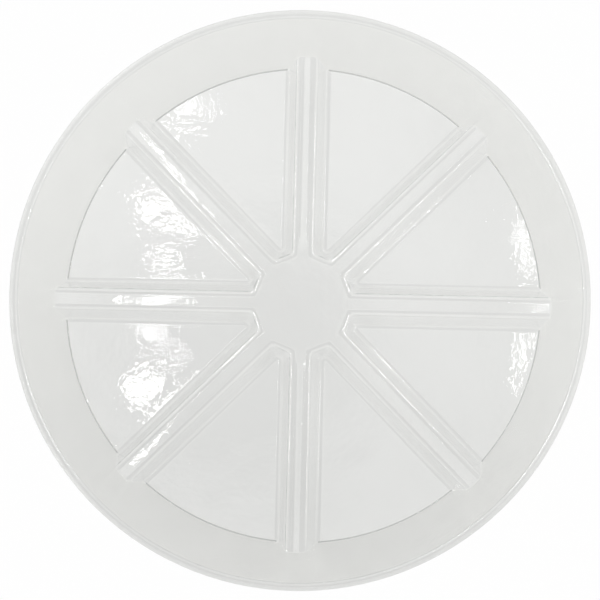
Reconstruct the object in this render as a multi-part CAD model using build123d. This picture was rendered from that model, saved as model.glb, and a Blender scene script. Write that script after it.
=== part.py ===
"""Clear plant saucer, formed from one thin sheet of plastic.

The sheet is split along its folds into named zones: a rim lip, a sloping side wall,
a raised hub, raised ribs that run from the hub into the wall, and the flat floor panels
between them. Millimetres, +Z up. The origin is on the underside of the floor, on the axis.
"""

import os
from math import atan2, cos, degrees, pi, sin, tan

from build123d import *

# The whole saucer
rim_diameter = 305.0
saucer_height = 44.0
sheet = 0.5

# The side wall's lean: how far it runs outwards from the floor to the lip
wall_run = 16.8

# The rim lip, a narrow flange that rolls out of the wall's top
lip_width = 3.2
lip_neck = 4.0
lip_roll_radius = 2.6

# The ribs, measured on the upper face of the sheet
rib_count = 8
rib_height = 11.0
rib_crown_width = 10.2
rib_side_run = 5.7
crown_inner_radius = 3.5

# The hub, a raised polygon with one flat side towards each floor panel
hub_top_width = 54.0
hub_side_run = 5.0
hub_arm = 1.5

# How far a cutter runs past what it cuts
overrun = 1.0

rim_radius = rim_diameter / 2
wall_top_radius = rim_radius - lip_width
floor_radius = wall_top_radius - wall_run
crown_top = rib_height + sheet
crown_outer_radius = crown_inner_radius + sheet
pitch = 360 / rib_count

# Angles are taken from the horizontal. At a fold, the underside's corner is shifted
# from the upper face's corner by the sheet times the tangent of half the angle.
wall_angle = atan2(saucer_height - sheet, wall_run)
wall_shift = sheet * tan(wall_angle / 2)
rib_shift = sheet * tan(atan2(rib_height, rib_side_run) / 2)
hub_shift = sheet * tan(atan2(rib_height, hub_side_run) / 2)

# Half widths of the rib and the hub: on the crown, at the foot of the side, and under it
rib_crown = rib_crown_width / 2
rib_foot = rib_crown + rib_side_run
rib_foot_under = rib_foot - rib_shift
hub_top = hub_top_width / 2
hub_foot = hub_top + hub_side_run
hub_foot_under = hub_foot - hub_shift

# The hub's corners point along the ribs, and the hub's zone ends an arm beyond them.
hub_reach = hub_foot / cos(pi / rib_count) + hub_arm


def wall_point(along, depth):
    """A (radius, height) point of the wall: up its slope from the floor, and into the sheet."""
    radius = floor_radius + along * cos(wall_angle) + depth * sin(wall_angle)
    height = sheet + along * sin(wall_angle) - depth * cos(wall_angle)
    return radius, height


# The folds at the wall's two ends, and the neck where the lip's zone begins
floor_fold = (floor_radius, sheet)
floor_fold_under = (floor_radius + wall_shift, 0)
lip_fold = (wall_top_radius, saucer_height)
lip_fold_under = (wall_top_radius + wall_shift, saucer_height - sheet)
wall_length = (saucer_height - sheet) / sin(wall_angle)
neck = wall_point(wall_length - lip_neck, 0)
neck_under = wall_point(wall_length - lip_neck, sheet)


def rounded(points, corners):
    """A face from an outline's points, with a radius on each listed corner."""
    face = make_face(Polyline(*points, close=True))
    for corner, radius in corners:
        vertex = face.vertices().sort_by_distance(corner)[0]
        face = fillet(vertex, radius)
    return face


def spun(face, arc=360):
    """A face drawn in radius and height, spun about the saucer's axis."""
    return revolve(Plane.XZ * face, Axis.Z, revolution_arc=arc)


def around(shape):
    """One copy of a shape in each rib's direction."""
    return [Rot(0, 0, number * pitch) * shape for number in range(rib_count)]


def rib_bar(start, end):
    """Everything under a rib's upper face, along +X."""
    points = [(-rib_foot_under, 0), (-rib_foot, sheet), (-rib_crown, crown_top),
              (rib_crown, crown_top), (rib_foot, sheet), (rib_foot_under, 0)]
    corners = [(points[2], crown_outer_radius), (points[3], crown_outer_radius)]
    return extrude(Plane.YZ.offset(start) * rounded(points, corners), end - start)


def rib_hollow(start, end):
    """The space under a rib's sheet, along +X."""
    crown = rib_crown - rib_shift
    points = [(-rib_foot_under, 0), (-crown, rib_height), (crown, rib_height), (rib_foot_under, 0)]
    corners = [(points[1], crown_inner_radius), (points[2], crown_inner_radius)]
    return extrude(Plane.YZ.offset(start) * rounded(points, corners), end - start)


def polygon_block(levels, top_radius):
    """A block through (half width, height) polygons, rounded round its top."""
    polygons = [Pos(0, 0, height) * RegularPolygon(half_width, rib_count, major_radius=False)
                for half_width, height in levels]
    block = loft(polygons, ruled=True)
    return fillet(block.faces().sort_by(Axis.Z)[-1].edges(), top_radius)


def hub_block():
    """Everything under the hub's upper face."""
    levels = [(hub_foot_under, 0), (hub_foot, sheet), (hub_top, crown_top)]
    return polygon_block(levels, crown_outer_radius)


def hub_hollow():
    """The space under the hub's sheet."""
    levels = [(hub_foot_under, 0), (hub_top - hub_shift, rib_height)]
    return polygon_block(levels, crown_inner_radius)


def make_hub():
    """The raised centre, with a short arm towards each rib."""
    block = hub_block() + around(rib_bar(0, hub_reach))
    hollow = hub_hollow() + around(rib_hollow(0, hub_reach + overrun))
    return block - hollow


def make_rib():
    """The rib along +X, from the hub's arm out through the wall."""
    bar = rib_bar(hub_reach, rim_radius) - rib_hollow(hub_reach - overrun, rim_radius + overrun)
    axis_top = (0, saucer_height - sheet)
    inside_wall = make_face(Polyline((0, 0), floor_fold_under, lip_fold_under, axis_top, close=True))
    return bar & spun(inside_wall)


def make_floor_panel():
    """The flat panel between the rib along +X and the next rib round."""
    section = make_face(Polyline((0, 0), floor_fold_under, floor_fold, (0, sheet), close=True))
    bar = rib_bar(0, rim_radius)
    return spun(section, pitch) - bar - Rot(0, 0, pitch) * bar - hub_block()


def make_side_wall():
    """The sloping wall, notched where the ribs run up into it."""
    section = make_face(Polyline(floor_fold, neck, neck_under, floor_fold_under, close=True))
    return spun(section) - around(rib_bar(0, rim_radius))


def make_rim_lip():
    """The flange round the top, with the rolled neck that joins it to the wall."""
    points = [neck, lip_fold, (rim_radius, saucer_height),
              (rim_radius, saucer_height - sheet), lip_fold_under, neck_under]
    corners = [(lip_fold, lip_roll_radius + sheet), (lip_fold_under, lip_roll_radius)]
    return spun(rounded(points, corners))


def main():
    os.makedirs("parts", exist_ok=True)
    export_step(make_rim_lip(), "parts/rim_lip.step")
    export_step(make_side_wall(), "parts/side_wall.step")
    export_step(make_hub(), "parts/hub.step")
    for number, rib in enumerate(around(make_rib()), start=1):
        export_step(rib, f"parts/rib_{number}.step")
    for number, panel in enumerate(around(make_floor_panel()), start=1):
        export_step(panel, f"parts/floor_panel_{number}.step")
    print("floor radius", floor_radius, "crown height", crown_top)
    print("wall leans", round(90 - degrees(wall_angle), 1), "degrees from upright")


main()
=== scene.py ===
# %% [markdown]
# # A clear plant saucer
# The saucer is one thin sheet of clear plastic, heated and drawn over a mould. This lesson models that sheet
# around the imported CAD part, gives it a clear finish, and lights it on a white floor seen from above.
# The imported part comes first: it is the frame that everything else has to fit.

# %% Load the frame
from math import cos, pi, radians, sin

import bpy
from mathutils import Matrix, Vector


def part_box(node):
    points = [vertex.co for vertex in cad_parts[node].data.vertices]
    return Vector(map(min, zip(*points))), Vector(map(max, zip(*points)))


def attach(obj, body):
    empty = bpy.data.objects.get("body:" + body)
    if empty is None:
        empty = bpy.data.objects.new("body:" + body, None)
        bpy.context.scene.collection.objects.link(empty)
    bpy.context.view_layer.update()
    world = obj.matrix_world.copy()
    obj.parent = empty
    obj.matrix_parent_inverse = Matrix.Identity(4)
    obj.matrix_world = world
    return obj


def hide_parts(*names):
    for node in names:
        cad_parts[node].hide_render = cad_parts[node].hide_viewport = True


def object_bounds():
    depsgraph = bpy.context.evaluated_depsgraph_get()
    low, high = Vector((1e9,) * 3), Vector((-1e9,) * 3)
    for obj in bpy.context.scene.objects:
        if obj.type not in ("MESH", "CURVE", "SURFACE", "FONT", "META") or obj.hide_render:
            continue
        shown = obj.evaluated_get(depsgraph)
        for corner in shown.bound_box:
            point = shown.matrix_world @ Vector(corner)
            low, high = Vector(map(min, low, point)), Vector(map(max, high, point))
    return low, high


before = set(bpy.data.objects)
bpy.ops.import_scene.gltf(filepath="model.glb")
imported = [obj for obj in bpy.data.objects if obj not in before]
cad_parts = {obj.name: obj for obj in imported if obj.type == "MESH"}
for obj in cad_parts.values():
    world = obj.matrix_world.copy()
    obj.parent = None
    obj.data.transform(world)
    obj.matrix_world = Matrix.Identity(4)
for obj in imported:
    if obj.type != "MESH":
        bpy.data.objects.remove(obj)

cad_low, cad_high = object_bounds()
print("CAD box", [round(v, 4) for v in (*cad_low, *cad_high)])

# %% [markdown]
# ## Sizes
# The sheet's upper face is what the mould's sizes are measured on, so the model is drawn on that face and gets
# its thickness last. The frame gives the rim, the heights and the ribs' feet. The few sizes that no box of
# the frame can tell, such as the width of a rib's crown, are named here, in metres.

# %% Read the sizes from the frame
rim_radius = cad_high.x
saucer_height = cad_high.z
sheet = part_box("floor_panel_1")[1].z
crown_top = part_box("hub")[1].z
rib_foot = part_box("rib_1")[1].y
rib_count = len([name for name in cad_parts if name.startswith("rib_")])

lip_width = 0.0032
wall_run = 0.0168
rib_crown = 0.0051
hub_top = 0.0270
hub_side_run = 0.0050

wall_top_radius = rim_radius - lip_width
floor_radius = wall_top_radius - wall_run
rib_height = crown_top - sheet
print("rim radius", round(rim_radius, 4), "floor radius", round(floor_radius, 4), "ribs", rib_count)


# %% [markdown]
# ## Working by hand
# Operators act on whatever is selected, and loading the frame leaves its nodes selected. These helpers pick one
# object, or the points, edges and faces that pass a test, as a mouse would.

# %% Helpers for selecting
def pick(piece):
    """Makes one object the only selected and active one."""
    if bpy.context.object and bpy.context.object.mode == "EDIT":
        bpy.ops.object.mode_set(mode="OBJECT")
    bpy.ops.object.select_all(action="DESELECT")
    piece.select_set(True)
    bpy.context.view_layer.objects.active = piece


def edit(piece, part="EDGE"):
    """Opens a piece in edit mode with nothing selected."""
    pick(piece)
    bpy.ops.object.mode_set(mode="EDIT")
    bpy.ops.mesh.select_mode(type=part)
    bpy.ops.mesh.select_all(action="DESELECT")


def select_where(piece, kind, test):
    """Selects the points, edges or faces of a piece in edit mode that pass a test, and counts them."""
    bpy.ops.mesh.select_all(action="DESELECT")
    bpy.ops.object.mode_set(mode="OBJECT")
    chosen = [item for item in getattr(piece.data, kind) if test(item)]
    for item in chosen:
        item.select = True
    bpy.ops.object.mode_set(mode="EDIT")
    return len(chosen)


def ends(piece, edge):
    """The two ends of an edge."""
    return [piece.data.vertices[index].co for index in edge.vertices]


def apply_modifier(piece, kind, **settings):
    """Adds a modifier with its settings and applies it."""
    pick(piece)
    modifier = piece.modifiers.new(kind.title(), kind)
    for name, value in settings.items():
        setattr(modifier, name, value)
    bpy.ops.object.modifier_apply(modifier=modifier.name)


# %% [markdown]
# ## The space inside
# A saucer could be drawn face by face, but its upper face is also the skin of the space inside it. That space
# is easy to make: a cone cut off at the floor and the rim, with the ribs and the hub carved out of its bottom.

# %% The cone of space inside the wall
round_sides = 16 * rib_count
bpy.ops.object.select_all(action="DESELECT")
bpy.ops.mesh.primitive_cone_add(
    vertices=round_sides, radius1=floor_radius, radius2=wall_top_radius,
    depth=saucer_height - sheet, location=(0, 0, (saucer_height + sheet) / 2))
saucer = bpy.context.object
saucer.name = "saucer_sheet"
bpy.ops.object.transform_apply(location=True, rotation=True, scale=True)
print("space inside", len(saucer.data.polygons), "faces")

# %% [markdown]
# ## The groove on a crown
# The mould leaves a shallow groove along the crowns of the two ribs that run front to back. The crown's face
# is inset twice, the second time downwards. Near the hub the groove's floor is lifted back up to the
# crown, so that the groove runs out in a ramp. Joining the flat faces afterwards keeps slivers out of the
# corners, where they would hold back the rounding of the folds later on.

# %% How a groove is sunk
tiny = 0.00005
flat_angle = radians(0.3)
groove_half_width = 0.0026
groove_side_run = 0.0012
groove_depth = 0.0004
groove_ends = (0.030, 0.040)


def sink_groove(bar):
    """Sinks a groove into the selected top face of a bar in edit mode."""
    bpy.ops.mesh.inset(thickness=rib_crown - groove_half_width)
    bpy.ops.mesh.inset(thickness=groove_side_run, depth=-groove_depth)
    for place in groove_ends:
        for side in (-1, 1):
            bpy.ops.mesh.select_all(action="SELECT")
            bpy.ops.mesh.bisect(plane_co=(side * place, 0, 0), plane_no=(1, 0, 0), threshold=tiny)
    bpy.ops.mesh.select_mode(type="VERT")
    lifted = select_where(bar, "vertices", lambda point: abs(point.co.x) < groove_ends[0] + tiny
                          and crown_top - 2 * groove_depth < point.co.z < crown_top - tiny)
    bpy.ops.transform.translate(value=(0, 0, groove_depth))
    bpy.ops.mesh.select_all(action="SELECT")
    bpy.ops.mesh.dissolve_limited(angle_limit=flat_angle)
    print("groove lifted at", lifted, "points")


# %% [markdown]
# ## Rib and hub cutters
# The ribs are hollow ridges, and two opposite ribs are one bar across the saucer. A cube becomes that bar when
# its top is drawn in to the crown's width. The bar goes a little below the floor, so that the cut is clean.
# The hub is an eight-sided cone cut off at the same height, with one flat side towards each floor panel.

# %% How the cutters are made
below = 0.002
rib_lean = (rib_foot - rib_crown) / rib_height
hub_lean = hub_side_run / rib_height
cutter_height = rib_height + below
cutter_middle = crown_top - cutter_height / 2
grooved_bar = 2
print("cutter height", round(cutter_height, 4))


def rib_bar(number):
    """A bar with sloping sides across the saucer, turned to its place."""
    foot = rib_foot + below * rib_lean
    bpy.ops.object.select_all(action="DESELECT")
    bpy.ops.mesh.primitive_cube_add(size=1, location=(0, 0, cutter_middle))
    bar = bpy.context.object
    bar.scale = (2 * rim_radius, 2 * foot, cutter_height)
    bpy.ops.object.transform_apply(location=True, rotation=True, scale=True)
    edit(bar, "FACE")
    select_where(bar, "polygons", lambda face: face.normal.z > 0.5)
    bpy.ops.transform.resize(value=(1, rib_crown / foot, 1), center_override=(0, 0, crown_top))
    if number == grooved_bar:
        sink_groove(bar)
    bpy.ops.object.mode_set(mode="OBJECT")
    bar.rotation_euler.z = 2 * pi * number / rib_count
    bpy.ops.object.transform_apply(location=True, rotation=True, scale=True)
    return bar


def hub_block():
    """The eight-sided block under the hub's top."""
    corner_share = 1 / cos(pi / rib_count)
    bpy.ops.object.select_all(action="DESELECT")
    bpy.ops.mesh.primitive_cone_add(
        vertices=rib_count, radius1=(hub_top + cutter_height * hub_lean) * corner_share,
        radius2=hub_top * corner_share, depth=cutter_height, location=(0, 0, cutter_middle))
    bpy.ops.object.transform_apply(location=True, rotation=True, scale=True)
    return bpy.context.object


# %% [markdown]
# ## Carving
# A Boolean modifier takes one cutter after the other out of the space. The mould works the same way: its ridges
# are where the saucer has no space.

# %% Carve the ribs and the hub out of the space
for number in range(rib_count // 2):
    bar = rib_bar(number)
    apply_modifier(saucer, "BOOLEAN", operation="DIFFERENCE", solver="EXACT", object=bar)
    bpy.data.objects.remove(bar)
block = hub_block()
apply_modifier(saucer, "BOOLEAN", operation="DIFFERENCE", solver="EXACT", object=block)
bpy.data.objects.remove(block)
print("carved space", len(saucer.data.polygons), "faces")

# %% [markdown]
# ## From space to skin
# The lid over the space is deleted, which leaves the skin, and the skin is turned over, because its faces
# looked out of the space and have to look out of the plastic. Flat faces that the cutters left in pieces
# are joined. Then the top edge is drawn outwards for the lip.

# %% Open the skin and draw out the lip
level = 0.9
edit(saucer, "FACE")
select_where(saucer, "polygons", lambda face: face.normal.z > level and face.center.z > saucer_height - tiny)
bpy.ops.mesh.delete(type="FACE")
bpy.ops.mesh.select_all(action="SELECT")
bpy.ops.mesh.remove_doubles(threshold=tiny)
bpy.ops.mesh.dissolve_limited(angle_limit=flat_angle)
bpy.ops.mesh.select_all(action="SELECT")
bpy.ops.mesh.flip_normals()
bpy.ops.mesh.select_mode(type="EDGE")
select_where(saucer, "edges", lambda edge: all(p.z > saucer_height - tiny for p in ends(saucer, edge)))
bpy.ops.mesh.extrude_edges_move()
lip_share = rim_radius / wall_top_radius
bpy.ops.transform.resize(value=(lip_share, lip_share, 1), center_override=(0, 0, saucer_height))
bpy.ops.object.mode_set(mode="OBJECT")
print("skin", len(saucer.data.polygons), "faces")

# %% [markdown]
# ## Zones of the sheet
# Drawing stretches the sheet by different amounts, so its floor, ribs, wall and lip don't look quite alike. The
# zones also carry painted light on the ribs' sides and painted shade in the crease. Each face gets a number for
# its zone now, while the faces are still few and easy to tell apart. The number stays with the face through
# every later step, and the finish reads it.

# %% Mark the zones
zones = {"floor": 0.0, "side": 0.2, "crown": 0.4, "wall": 0.6, "lip": 0.8, "crease": 1.0}
wall_lean = wall_run / (saucer_height - sheet)


def zone_of(face):
    """The share that stands for a face's zone of the sheet."""
    if face.center.z > saucer_height - tiny:
        return zones["lip"]
    if face.center.xy.length > floor_radius + (face.center.z - sheet) * wall_lean - 2 * tiny:
        return zones["wall"]
    if face.center.z < sheet + tiny:
        return zones["floor"]
    return zones["crown"] if face.normal.z > level else zones["side"]


zone = saucer.data.attributes.new("zone", "FLOAT", "FACE")
for face in saucer.data.polygons:
    zone.data[face.index].value = zone_of(face)
print("zones", sorted({round(item.value, 1) for item in zone.data}))

# %% [markdown]
# ## Rounded folds
# A warm sheet never folds sharply: it is rounded over the mould's edges and in its corners, by an amount that
# depends on the fold. So the folds are first told apart by where they lie. The groove's own edges and the
# short edges at its ends stay as they are.

# %% Tell the folds apart
fold_angle = radians(20)
shortest_crown = 1.1 * rib_crown


def fold_kind(edge):
    """Which fold of the sheet an edge belongs to."""
    points = ends(saucer, edge)
    on_wall = [p.xy.length > floor_radius + (p.z - sheet) * wall_lean - tiny for p in points]
    if min(p.z for p in points) > saucer_height - tiny:
        return "lip"
    if all(on_wall):
        return "crease"
    if min(p.z for p in points) < sheet + tiny:
        return "rib_foot"
    on_crown = min(p.z for p in points) > crown_top - tiny
    return "crown" if on_crown and (points[0] - points[1]).length > shortest_crown else "groove"


def select_folds(kind):
    """Selects the folds of one kind in edit mode, and counts them."""
    edit(saucer)
    bpy.ops.mesh.edges_select_sharp(sharpness=fold_angle)
    bpy.ops.object.mode_set(mode="OBJECT")
    sharp = {edge.index for edge in saucer.data.edges if edge.select}
    bpy.ops.object.mode_set(mode="EDIT")
    return select_where(saucer, "edges", lambda edge: edge.index in sharp and fold_kind(edge) == kind)


# %% [markdown]
# Each fold gets a bevel weight for its kind, and one Bevel modifier rounds them all at once, so that the corners
# where folds meet come out clean.

# %% Round the folds
rounds = {"lip": 0.0021, "crown": 0.0024, "rib_foot": 0.0021}
for kind, size in rounds.items():
    print(kind, "folds:", select_folds(kind), "edges")
    bpy.ops.transform.edge_bevelweight(value=size / max(rounds.values()))
bpy.ops.object.mode_set(mode="OBJECT")
apply_modifier(saucer, "BEVEL", limit_method="WEIGHT", offset_type="OFFSET", width=max(rounds.values()),
               segments=5, use_clamp_overlap=True, miter_inner="MITER_SHARP")

# %% [markdown]
# ## The crease round the floor
# Where the floor meets the wall, the sheet is pulled tight into the mould's corner, so this crease is much
# sharper than the other folds. It is beveled by itself and gets its own zone, whose dark tint paints a fine
# line of shade along it. The rounding at the top of the wall is counted as part of the lip.

# %% Round the crease along the wall and mark it
crease_round = 0.0005
print("crease folds:", select_folds("crease"), "edges")
bpy.ops.mesh.bevel(offset=crease_round, segments=3, clamp_overlap=True)
bpy.ops.object.mode_set(mode="OBJECT")
zone = saucer.data.attributes["zone"]
for face in saucer.data.polygons:
    # The crease's zone gets the darkest tint, a painted shadow line along the floor's edge.
    if face.select and face.center.z < sheet + crease_round:
        zone.data[face.index].value = zones["crease"]
    elif face.center.z > saucer_height - rounds["lip"]:
        zone.data[face.index].value = zones["lip"]
print("rounded skin", len(saucer.data.polygons), "faces")

# %% [markdown]
# ## A sheet that isn't quite flat
# A drawn sheet cools unevenly, so its flat parts keep shallow waves that bend every reflection. Flat faces
# have no points to move, so the skin is first sliced along a grid.

# %% Slice the skin along a grid
grid_step = 0.004
steps = int(rim_radius / grid_step)
for axis in ((1, 0, 0), (0, 1, 0), (0, 0, 1)):
    for step in range(-steps, steps + 1):
        edit(saucer)
        bpy.ops.mesh.select_all(action="SELECT")
        bpy.ops.mesh.bisect(plane_co=[grid_step * (step + 0.5) * a for a in axis], plane_no=axis, threshold=tiny)
edit(saucer)
bpy.ops.mesh.select_all(action="SELECT")
bpy.ops.mesh.remove_doubles(threshold=tiny / 2)
bpy.ops.object.mode_set(mode="OBJECT")
print("sliced skin", len(saucer.data.polygons), "faces")

# %% [markdown]
# A Displace modifier now moves the points up or down by about a tenth of a millimetre, and Solidify gives the
# skin the sheet's thickness below it. Smooth shading stops at the rim's sharp edges, and a Weighted Normal modifier
# lets the large faces lead, so that the small ones beside them don't bend the reflections.

# %% Wave the skin and give it its thickness
wave_height = 0.0002
wave_size = 0.014
waves = bpy.data.textures.new("forming_waves", "CLOUDS")
waves.noise_scale = wave_size
waves.noise_depth = 1
apply_modifier(saucer, "DISPLACE", texture=waves, texture_coords="LOCAL", direction="Z", strength=wave_height,
               mid_level=0.35)
apply_modifier(saucer, "SOLIDIFY", thickness=sheet, offset=-1, use_even_offset=True, use_rim=True)
pick(saucer)
bpy.ops.object.shade_smooth_by_angle(angle=radians(35))
apply_modifier(saucer, "WEIGHTED_NORMAL", mode="FACE_AREA", weight=50, keep_sharp=True)
print("sheet", len(saucer.data.polygons), "faces, box", [round(v, 4) for v in saucer.dimensions])


# %% [markdown]
# ## Building with nodes
# The finish, the floor and the room are all made of nodes. These two helpers add a node with its values, and
# a ramp through a few colours.

# %% Helpers for nodes
def add_node(tree, kind, inputs=None, **settings):
    """Adds a node with its settings and the values of its inputs."""
    node = tree.nodes.new("ShaderNode" + kind)
    for name, value in settings.items():
        setattr(node, name, value)
    for name, value in (inputs or {}).items():
        node.inputs[name].default_value = value
    return node


def add_ramp(tree, stops):
    """Adds a colour ramp through (position, colour) stops."""
    ramp = add_node(tree, "ValToRGB")
    first, *between, last = [(position, (*colour, 1)) for position, colour in stops]
    elements = ramp.color_ramp.elements
    elements[0].position, elements[0].color = first
    elements[1].position, elements[1].color = last
    for position, colour in between:
        elements.new(position).color = colour
    return ramp


def grey(share):
    """A grey from black at 0 to white at 1."""
    return (share, share, share)


# %% [markdown]
# ## Clear plastic
# The saucer is clear with a faint grey-green cast, and glossy. A transmitting Principled shader does this with
# real refraction, because the sheet has a real thickness. The tint follows the zones: the crowns, which were
# drawn least, are a little darker than the stretched wall. The ribs' sides are tinted lighter as painted light
# against the shade under the ribs, and the crease is tinted darkest as a painted shadow line. The tint also
# deepens slightly round the hub, as painted shade.

# %% The plastic's tint
# The sides' lighter tint is painted light, and the crease's dark tint is painted shade.
zone_tints = {"floor": (0.867, 0.872, 0.857), "side": (0.876, 0.880, 0.865), "crown": (0.846, 0.850, 0.835),
              "wall": (0.890, 0.894, 0.873), "lip": (0.82, 0.825, 0.81), "crease": (0.60, 0.605, 0.59)}
plastic = bpy.data.materials.new("formed_clear_plastic")
plastic.use_nodes = True
tree, links = plastic.node_tree, plastic.node_tree.links
shader = tree.nodes["Principled BSDF"]
shader.inputs["Transmission Weight"].default_value = 1
shader.inputs["IOR"].default_value = 1.5
place = add_node(tree, "TexCoord")
zone = add_node(tree, "Attribute", attribute_name="zone")
tint = add_ramp(tree, [(zones[name], colour) for name, colour in zone_tints.items()])
reach = add_node(tree, "VectorMath", operation="LENGTH")
# Darker towards the middle: painted shade round the hub.
middle = add_node(tree, "MapRange", {"From Min": 0.020, "From Max": 0.050, "To Min": 0.970, "To Max": 1.0},
                  interpolation_type="SMOOTHSTEP")
shade = add_node(tree, "VectorMath", operation="SCALE")
links.new(zone.outputs["Fac"], tint.inputs["Fac"])
links.new(place.outputs["Object"], reach.inputs[0])
links.new(reach.outputs["Value"], middle.inputs["Value"])
links.new(tint.outputs["Color"], shade.inputs[0])
links.new(middle.outputs["Result"], shade.inputs["Scale"])
links.new(shade.outputs["Vector"], shader.inputs["Base Color"])
print("tints", len(zone_tints))

# %% [markdown]
# Handling leaves the gloss uneven, so a noise varies the roughness. Stretching the wall and the lip made them
# hazier than the rest, which adds to it. A fine noise in the bump gives the surface its slight orange peel,
# which breaks the edges of every reflection.

# %% The plastic's gloss
drawn_haze = 0.14
peel_height = 0.00005
handling = add_node(tree, "TexNoise", {"Scale": 60, "Detail": 4})
gloss = add_node(tree, "MapRange", {"From Min": 0.3, "From Max": 0.8, "To Min": 0.01, "To Max": 0.06})
drawn = add_node(tree, "MapRange",
                 {"From Min": zones["crown"], "From Max": zones["wall"], "To Max": drawn_haze})
rough = add_node(tree, "Math", operation="ADD")
peel = add_node(tree, "TexNoise", {"Scale": 300, "Detail": 2})
bump = add_node(tree, "Bump", {"Strength": 1, "Distance": peel_height})
links.new(place.outputs["Object"], handling.inputs["Vector"])
links.new(handling.outputs["Fac"], gloss.inputs["Value"])
links.new(zone.outputs["Fac"], drawn.inputs["Value"])
links.new(drawn.outputs["Result"], rough.inputs[0])
links.new(gloss.outputs["Result"], rough.inputs[1])
links.new(rough.outputs[0], shader.inputs["Roughness"])
links.new(place.outputs["Object"], peel.inputs["Vector"])
links.new(peel.outputs["Fac"], bump.inputs["Height"])
links.new(bump.outputs["Normal"], shader.inputs["Normal"])
print("finish", plastic.name, "with", len(tree.nodes), "nodes")

# %% [markdown]
# ## Into the frame
# The sheet takes the place of all the frame's nodes, because they are its zones, and it rides on the root.

# %% Hand the sheet to the frame
saucer.data.materials.clear()
saucer.data.materials.append(plastic)
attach(saucer, "root")
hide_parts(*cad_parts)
print("replaces", len(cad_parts), "nodes")

# %% [markdown]
# ## The white floor
# The saucer stands on a white floor. The floor is white by itself for the camera, and for the rays that the
# plastic bends or mirrors it is partly white and partly lit, so it stays white and still keeps a soft
# shadow. Through the plastic it is a little darker towards the viewer, as a table under a window is.

# %% Make the floor
floor_drop = 0.0004
camera_share = 0.98
bent_share = 0.8
away = (0.28, 0.96, 0)
floor_look = bpy.data.materials.new("white_floor")
floor_look.use_nodes = True
tree, links = floor_look.node_tree, floor_look.node_tree.links
tree.nodes.clear()
output = add_node(tree, "OutputMaterial")
lit = add_node(tree, "BsdfDiffuse", {"Color": (*grey(0.95), 1)})
own = add_node(tree, "Emission")
place = add_node(tree, "TexCoord")
along = add_node(tree, "VectorMath", {1: away}, operation="DOT_PRODUCT")
# Its glow falls off towards the viewer: a painted falloff of light.
falloff = add_node(tree, "MapRange", {"From Min": -0.15, "From Max": 0.06, "To Min": 0.875, "To Max": 1.0},
                   interpolation_type="SMOOTHSTEP")
path = add_node(tree, "LightPath")
white = add_node(tree, "Math", operation="MAXIMUM")
mirrored = add_node(tree, "Math", operation="MAXIMUM")
share = add_node(tree, "Math", {1: bent_share}, operation="MULTIPLY")
seen = add_node(tree, "Math", {1: camera_share}, operation="MULTIPLY_ADD")
mix = add_node(tree, "MixShader")
links.new(place.outputs["Object"], along.inputs[0])
links.new(along.outputs["Value"], falloff.inputs["Value"])
links.new(falloff.outputs["Result"], white.inputs[0])
links.new(path.outputs["Is Camera Ray"], white.inputs[1])
links.new(white.outputs[0], own.inputs["Strength"])
links.new(path.outputs["Is Glossy Ray"], mirrored.inputs[0])
links.new(path.outputs["Is Transmission Ray"], mirrored.inputs[1])
links.new(mirrored.outputs[0], share.inputs[0])
links.new(path.outputs["Is Camera Ray"], seen.inputs[0])
links.new(share.outputs[0], seen.inputs[2])
links.new(seen.outputs[0], mix.inputs["Fac"])
links.new(lit.outputs[0], mix.inputs[1])
links.new(own.outputs[0], mix.inputs[2])
links.new(mix.outputs[0], output.inputs["Surface"])

bpy.ops.object.select_all(action="DESELECT")
bpy.ops.mesh.primitive_plane_add(size=8, location=(0, 0, -floor_drop))
floor = bpy.context.object
floor.name = "floor"
floor.data.materials.append(floor_look)
print("floor", round(floor.dimensions.x, 1), "m wide with", len(tree.nodes), "nodes")

# %% [markdown]
# ## The camera
# The camera looks almost straight down from 0.7 m, a little to the right of the axis and towards the viewer. That
# is why the rim's circle is shifted against the floor's. The lens is shifted, so that the saucer stays in the
# middle of the picture without the camera being turned to it.

# %% Place the camera
camera_place = Vector((0.03457, -0.04931, 0.700))
camera_turn = (radians(1.722), radians(1.102), radians(1.27))
bpy.ops.object.select_all(action="DESELECT")
bpy.ops.object.camera_add(location=camera_place)
camera = bpy.context.object
camera.rotation_mode = "ZYX"
camera.rotation_euler = camera_turn
camera.data.lens = 75.3
camera.data.sensor_width = 36
camera.data.shift_x = -0.0655
camera.data.shift_y = 0.0932
bpy.context.scene.camera = camera
bpy.context.scene.view_settings.view_transform = "Standard"
print("camera", round(camera_place.z, 2), "m up, lens", round(camera.data.lens, 1), "mm")


# %% [markdown]
# ## Lamps placed by their mirror images
# A glossy sheet shows a lamp as a mirror image. So each small lamp is put where the mirror law wants it for
# its image to fall on a chosen place. The lamps show only in the gloss, and their brightness is given as the
# radiance that the image gets, so a larger lamp isn't a brighter one.

# %% Helpers for the mirror law
def sight(point, normal):
    """The direction in which the camera sees on from a mirror at a point."""
    view = (point - camera_place).normalized()
    return view - 2 * view.dot(normal) * normal


def soft_lamp(name, place, turn, width, length, radiance):
    """A small lamp that only the gloss shows, with the brightness that its image gets."""
    bpy.ops.object.select_all(action="DESELECT")
    bpy.ops.object.light_add(type="AREA", location=place, rotation=turn)
    lamp = bpy.context.object
    lamp.name = name
    lamp.data.shape = "RECTANGLE"
    lamp.data.size = width
    lamp.data.size_y = length
    lamp.data.energy = radiance * pi * width * length
    lamp.visible_diffuse = False
    lamp.visible_transmission = False


# %% [markdown]
# The lamps overhead make the bright patches on the floor panels and the crowns, as the panes of a window do. Each
# one is given as its image: the middle, the two sizes and the turn in degrees. A level mirror shows a lamp
# smaller than it is, in the ratio of the whole path to the camera's part of it, so the lamp is made larger.

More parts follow.
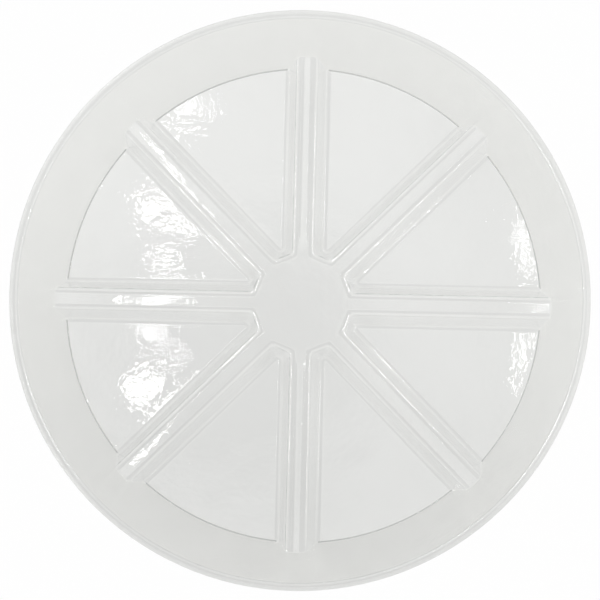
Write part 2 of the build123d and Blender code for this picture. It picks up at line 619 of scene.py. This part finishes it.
# %% The lamps overhead
lamp_height = 1.0
floor_radiance, crown_radiance, right_radiance = 17, 20, 13
floor_images = [
    ((-0.0640, 0.1070), (0.018, 0.005), 19), ((-0.0860, 0.0524), (0.013, 0.012), 0),
    ((-0.0687, 0.0480), (0.004, 0.026), 34), ((-0.0782, 0.0235), (0.017, 0.004), 0),
    ((-0.0850, -0.0125), (0.020, 0.003), 0), ((-0.0830, -0.0195), (0.018, 0.004), 0),
    ((-0.0715, -0.0290), (0.007, 0.004), 20), ((-0.0890, -0.0470), (0.014, 0.014), 45),
    ((-0.0790, -0.0480), (0.005, 0.018), -20)]
crown_images = [
    ((-0.0785, 0.0840), (0.017, 0.010), -45), ((-0.0730, 0.0730), (0.010, 0.007), -45),
    ((-0.0826, -0.0012), (0.030, 0.005), 0), ((-0.0750, 0.0065), (0.022, 0.004), 0),
    ((-0.0824, -0.0774), (0.018, 0.012), 45), ((0.1325, 0.0022), (0.008, 0.003), 0)]
right_images = [((0.1246, 0.0368), (0.005, 0.036), 17), ((0.1268, -0.0311), (0.005, 0.032), -14)]


def overhead_lamp(name, image, height, size, turn, radiance):
    """A lamp overhead whose image of a given size falls on a place of a level face."""
    point = Vector((*image, height))
    direction = sight(point, Vector((0, 0, 1)))
    place = point + direction * (lamp_height - height) / direction.z
    spread = 1 + (lamp_height - height) / (camera_place.z - height)
    soft_lamp(name, place, (0, 0, radians(turn)), size[0] * spread, size[1] * spread, radiance)


for number, (image, size, turn) in enumerate(floor_images):
    overhead_lamp(f"floor_lamp_{number + 1}", image, sheet, size, turn, floor_radiance)
for number, (image, size, turn) in enumerate(crown_images):
    overhead_lamp(f"crown_lamp_{number + 1}", image, crown_top, size, turn, crown_radiance)
for number, (image, size, turn) in enumerate(right_images):
    overhead_lamp(f"right_lamp_{number + 1}", image, sheet, size, turn, right_radiance)
print("overhead lamps", len(floor_images) + len(crown_images) + len(right_images))

# %% [markdown]
# The rounded edge of a crown mirrors light from the side. A low strip lamp therefore draws a fine white line along
# one side of a rib. Ribs are counted from 0, anticlockwise, and a side is 1 on the left of a rib as seen
# from the hub and -1 on its right.

# %% The low strips
edge_middle, edge_tilt, edge_reach = 0.085, radians(35), 0.65
strip_width, strip_height = 0.24, 0.02
strips = [(7, 1, 80), (3, 1, 60), (5, -1, 90), (1, 1, 40), (1, -1, 40),
          (2, 1, 20), (2, -1, 20), (6, 1, 20), (6, -1, 20)]


def edge_lamp(number, side, radiance):
    """A low strip lamp whose image is a line along one side of a rib's crown."""
    along = 2 * pi * number / rib_count
    across = along + side * pi / 2
    facing = Vector((cos(across), sin(across), 0))
    point = Vector((cos(along), sin(along), 0)) * edge_middle + facing * rib_crown
    point.z = crown_top
    normal = facing * sin(edge_tilt) + Vector((0, 0, cos(edge_tilt)))
    direction = sight(point, normal)
    turn = (-direction).to_track_quat("-Z", "Y").to_euler()
    soft_lamp(f"edge_lamp_{number}_{side}", point + direction * edge_reach, turn,
              strip_width, strip_height, radiance)


for number, side, radiance in strips:
    edge_lamp(number, side, radiance)
print("low strips", len(strips))

# %% [markdown]
# ## The soft room
# All other light comes from the room. Overhead is a wide soft light that ends a little to the right, and whoever
# holds the camera shades the part of it that the hub mirrors. The ramps read the direction of a ray, moved
# by a half so that straight up is their middle.

# %% The light overhead
overhead_light, ceiling_light = 1.45, 0.3
viewer_direction = (-0.09, 0.03, 0.995)
room = bpy.data.worlds.new("soft_studio")
room.use_nodes = True
tree, links = room.node_tree, room.node_tree.links
place = add_node(tree, "TexCoord")
centred = add_node(tree, "VectorMath", {1: (0.5, 0.5, 0)}, operation="ADD")
split = add_node(tree, "SeparateXYZ")
across = add_ramp(tree, [(0.12, grey(0)), (0.22, grey(1)), (0.50, grey(1)), (0.62, grey(0.6)), (0.74, grey(0))])
along = add_ramp(tree, [(0.18, grey(0)), (0.30, grey(1)), (0.80, grey(1)), (0.92, grey(0))])
beside = add_node(tree, "VectorMath", {1: viewer_direction}, operation="DISTANCE")
viewer = add_node(tree, "MapRange", {"From Min": 0.05, "From Max": 0.17, "To Min": 0.48, "To Max": 1},
                  interpolation_type="SMOOTHSTEP")
panel = add_node(tree, "Math", operation="MULTIPLY")
shaded = add_node(tree, "Math", operation="MULTIPLY")
overhead = add_node(tree, "Math", {1: overhead_light, 2: ceiling_light}, operation="MULTIPLY_ADD")
links.new(place.outputs["Generated"], centred.inputs[0])
links.new(centred.outputs["Vector"], split.inputs[0])
links.new(split.outputs["X"], across.inputs["Fac"])
links.new(split.outputs["Y"], along.inputs["Fac"])
links.new(across.outputs["Color"], panel.inputs[0])
links.new(along.outputs["Color"], panel.inputs[1])
links.new(place.outputs["Generated"], beside.inputs[0])
links.new(beside.outputs["Value"], viewer.inputs["Value"])
links.new(panel.outputs[0], shaded.inputs[0])
links.new(viewer.outputs["Result"], shaded.inputs[1])
links.new(shaded.outputs[0], overhead.inputs[0])
print("overhead light from", ceiling_light, "to", ceiling_light + overhead_light)

# %% [markdown]
# Further down, the walls of the room are evenly bright, which fills the sloping sides of the ribs. For the camera
# itself the room is plain white, like the floor.

# %% The walls of the room
wall_light = 1.5
height = add_node(tree, "MapRange", {"From Min": 0.45, "From Max": 0.65}, interpolation_type="SMOOTHSTEP")
total = add_node(tree, "Mix", {2: wall_light})
path = add_node(tree, "LightPath")
white = add_node(tree, "Mix", {3: 1})
background = tree.nodes["Background"]
background.inputs["Color"].default_value = (*grey(1), 1)
links.new(split.outputs["Z"], height.inputs["Value"])
links.new(height.outputs["Result"], total.inputs["Factor"])
links.new(overhead.outputs[0], total.inputs[3])
links.new(path.outputs["Is Camera Ray"], white.inputs["Factor"])
links.new(total.outputs[0], white.inputs[2])
links.new(white.outputs[0], background.inputs["Strength"])
bpy.context.scene.world = room
print("room", room.name, "with", len(tree.nodes), "nodes")
